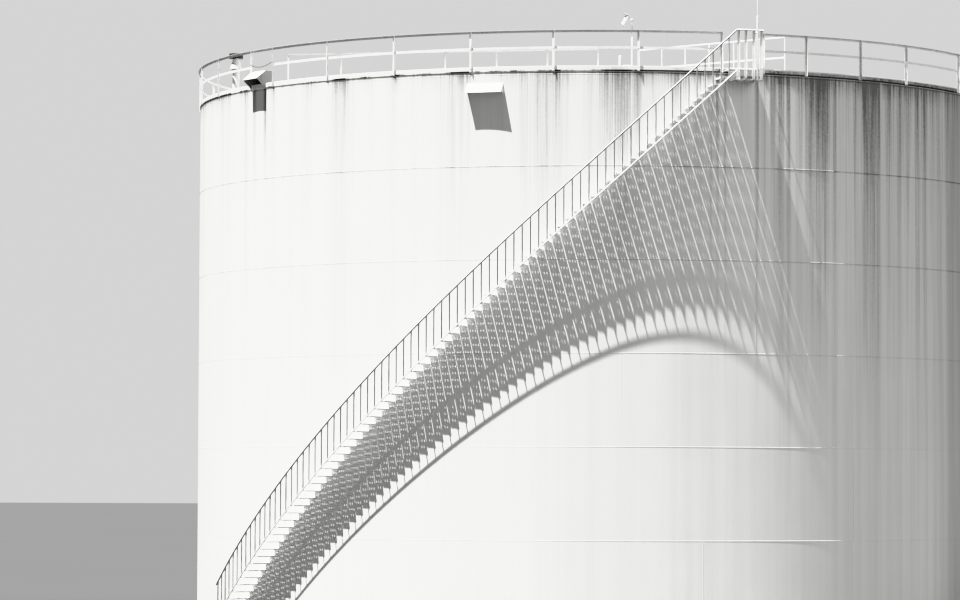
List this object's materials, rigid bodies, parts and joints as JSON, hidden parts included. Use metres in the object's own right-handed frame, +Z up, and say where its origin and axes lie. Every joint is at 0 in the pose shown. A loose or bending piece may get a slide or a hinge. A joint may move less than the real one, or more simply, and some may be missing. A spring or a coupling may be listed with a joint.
{
  "type": "vertical storage tank",
  "caption": "Upright round steel storage tank with a low cone roof, rim guardrail, spiral stair with a landing at its head, roof walkways, vent hoods and wall openings.",
  "frame": {"origin": "on the tank's axis at ground level, under the bottom plate", "axes": "+Z up the tank's axis, -Y towards the front with the stair, +X to the right seen from the front"},
  "size_m": [23.1541, 23.9078, 17.3],
  "materials": {
    "shell_paint": "white paint, chalked and streaked with dirt below the rim",
    "rail_paint": "white paint, worn and stained at the joints",
    "stair_paint": "white paint, worn on the treads",
    "galvanised_steel": "dull weathered zinc"
  },
  "bodies": {
    "root": {"bottom_plate": "shell_paint", "shell_course_1": "shell_paint", "shell_course_2": "shell_paint", "shell_course_3": "shell_paint", "shell_course_4": "shell_paint", "shell_course_5": "shell_paint", "shell_course_6": "shell_paint", "top_kerb": "shell_paint", "roof_plate": "shell_paint", "rim_rail_1": "rail_paint", "rim_rail_2": "rail_paint", "rim_rail_3": "rail_paint", "rim_rail_4": "rail_paint", "rim_rail_5": "rail_paint", "rim_rail_6": "rail_paint", "rim_rail_7": "rail_paint", "gate_chain": "galvanised_steel", "stair_flight_1": "stair_paint", "stair_flight_2": "stair_paint", "stair_flight_3": "stair_paint", "stair_flight_4": "stair_paint", "stair_flight_5": "stair_paint", "stair_rail_1": "stair_paint", "stair_rail_2": "stair_paint", "stair_rail_3": "stair_paint", "stair_rail_4": "stair_paint", "stair_rail_5": "stair_paint", "stair_landing": "stair_paint", "landing_rail": "stair_paint", "landing_mast": "galvanised_steel", "walkway_right_deck": "galvanised_steel", "walkway_right_rail": "rail_paint", "walkway_left_deck": "galvanised_steel", "walkway_left_rail": "rail_paint", "vent_hood_1": "shell_paint", "vent_hood_2": "shell_paint", "vent_hood_3": "shell_paint", "vent_hood_4": "shell_paint", "hatch_hood": "shell_paint", "floodlight_pole": "galvanised_steel", "floodlight_head": "galvanised_steel", "rim_vent": "shell_paint", "manhole_neck": "shell_paint", "manhole_cover": "shell_paint", "outlet_nozzle": "shell_paint"}
  },
  "joints": []
}
